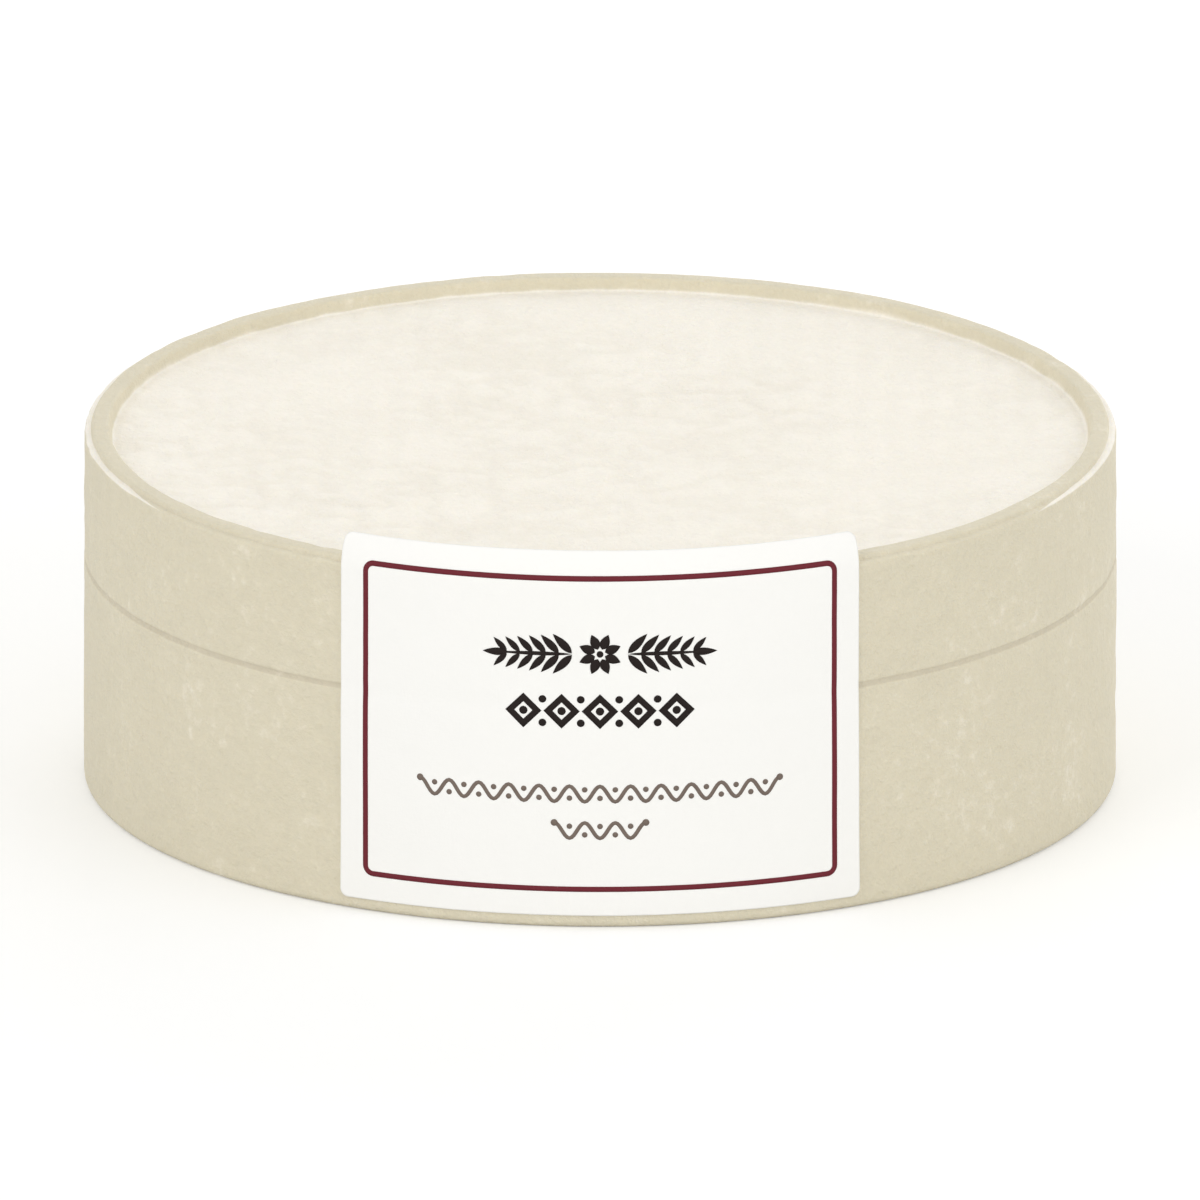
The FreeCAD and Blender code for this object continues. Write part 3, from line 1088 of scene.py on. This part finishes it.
LAMPS = {  # where each lamp hangs, and how wide it is
    "key": ((-0.55, -0.6, 0.45), 0.6),
    "fill": ((0.65, -0.5, 0.28), 0.7),
    "rear": ((0.25, 0.8, 0.25), 0.7),
}
WHITE = (1.0, 1.0, 1.0, 1.0)
FLOOR_COLOUR = (0.82, 0.82, 0.81, 1.0)
FLOOR_HALF = 1.5
FLOOR_GLOW = (0.24, 0.36)  # beside the wheel, and how much more away from it
FLOOR_FADE = (0.12, 0.4)  # distances from the axis where the glow starts to grow and is full
CAMERA_DISTANCE = 0.5


class CHEESE_OT_stage(bpy.types.Operator):
    """Set the floor, the lamps, the white surround and the camera"""

    bl_idname = "cheese.stage"
    bl_label = "Stage"

    def execute(self, context):
        scene = context.scene
        stage = scene.cheese_stage
        scene.view_settings.view_transform = "Standard"
        make_floor()
        make_world(scene, stage)
        middle = Vector((0, 0, stage.aim))
        for name, (place, size) in LAMPS.items():
            lamp = bpy.data.lights.new(name + "_lamp", "AREA")
            lamp.size = size
            lamp.energy = getattr(stage, name)
            aimed(lamp, Vector(place), middle).visible_camera = False
        camera = bpy.data.cameras.new("camera")
        camera.type = "ORTHO"
        camera.ortho_scale = stage.view_width
        camera.clip_start = 0.01
        camera.clip_end = 20
        back = Vector((0, -math.cos(stage.elevation), math.sin(stage.elevation)))
        scene.camera = aimed(camera, middle + back * CAMERA_DISTANCE, middle)
        return {"FINISHED"}


def aimed(data, place, target):
    """An object for a lamp or a camera, at a place and turned to a target."""
    holder = bpy.data.objects.new(data.name, data)
    holder.location = place
    holder.rotation_euler = (target - place).to_track_quat("-Z", "Y").to_euler()
    bpy.context.scene.collection.objects.link(holder)
    return holder


def looked_at(nodes):
    """1 for what the camera sees, straight, mirrored or through glass, and 0 for the light on things."""
    rays = nodes.add("ShaderNodeLightPath").outputs
    seen = nodes.largest(rays["Is Camera Ray"], rays["Is Glossy Ray"])
    return nodes.largest(seen, rays["Is Transmission Ray"])


def make_floor():
    """A wide pale floor with the wheel's shadow. Away from the wheel the camera sees it white."""
    corners = [(x * FLOOR_HALF, y * FLOOR_HALF, 0) for x, y in ((-1, -1), (1, -1), (1, 1), (-1, 1))]
    floor = new_object("floor", corners, (), [(0, 1, 2, 3)])
    material, nodes, shader, place = new_material("floor", "ShaderNodeAddShader")
    near, more = FLOOR_GLOW
    strength = looked_at(nodes) * (near + more * nodes.step(nodes.length(place), *FLOOR_FADE))
    matt = nodes.made("ShaderNodeBsdfDiffuse", {"Color": FLOOR_COLOUR})
    glow = nodes.made("ShaderNodeEmission", {"Color": WHITE, "Strength": strength})
    nodes.feed(shader.inputs[0], matt)
    nodes.feed(shader.inputs[1], glow)
    floor.data.materials.append(material)


def make_world(scene, stage):
    """Even light from all round, which the camera sees as white."""
    scene.world = bpy.data.worlds.new("surround")
    nodes = emptied(scene.world)
    strength = stage.sky + looked_at(nodes) * (1.0 - stage.sky)
    sky = nodes.made("ShaderNodeBackground", {"Color": WHITE, "Strength": strength})
    nodes.add("ShaderNodeOutputWorld", {"Surface": sky})


# ---------------- panel


class CHEESE_PT_panel(bpy.types.Panel):
    """The sidebar's list of pieces, sizes and colours"""

    bl_label = "Soft goat cheese"
    bl_idname = "CHEESE_PT_panel"
    bl_space_type = "VIEW_3D"
    bl_region_type = "UI"
    bl_category = "Cheese"

    def draw(self, context):
        for operator in OPERATORS:
            self.layout.operator(operator.bl_idname)
        for name, group in GROUPS.items():
            box = self.layout.box()
            box.label(text=group.__doc__)
            for key in group.__annotations__:
                box.prop(getattr(context.scene, name), key)


OPERATORS = (
    CHEESE_OT_wheel,
    CHEESE_OT_label,
    CHEESE_OT_frame_line,
    CHEESE_OT_bold_rows,
    CHEESE_OT_fine_rows,
    CHEESE_OT_stage,
)
CLASSES = (*GROUPS.values(), *OPERATORS, CHEESE_PT_panel)


def register():
    for item in CLASSES:
        bpy.utils.register_class(item)
    for name, group in GROUPS.items():
        setattr(bpy.types.Scene, name, PointerProperty(type=group))


def unregister():
    for name in GROUPS:
        delattr(bpy.types.Scene, name)
    for item in reversed(CLASSES):
        bpy.utils.unregister_class(item)


def main():
    register()
    bpy.ops.cheese.wheel()
    bpy.ops.cheese.label()
    bpy.ops.cheese.frame_line()
    bpy.ops.cheese.bold_rows()
    bpy.ops.cheese.fine_rows()
    bpy.ops.cheese.stage()
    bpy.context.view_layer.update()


if __name__ == "__main__":
    main()
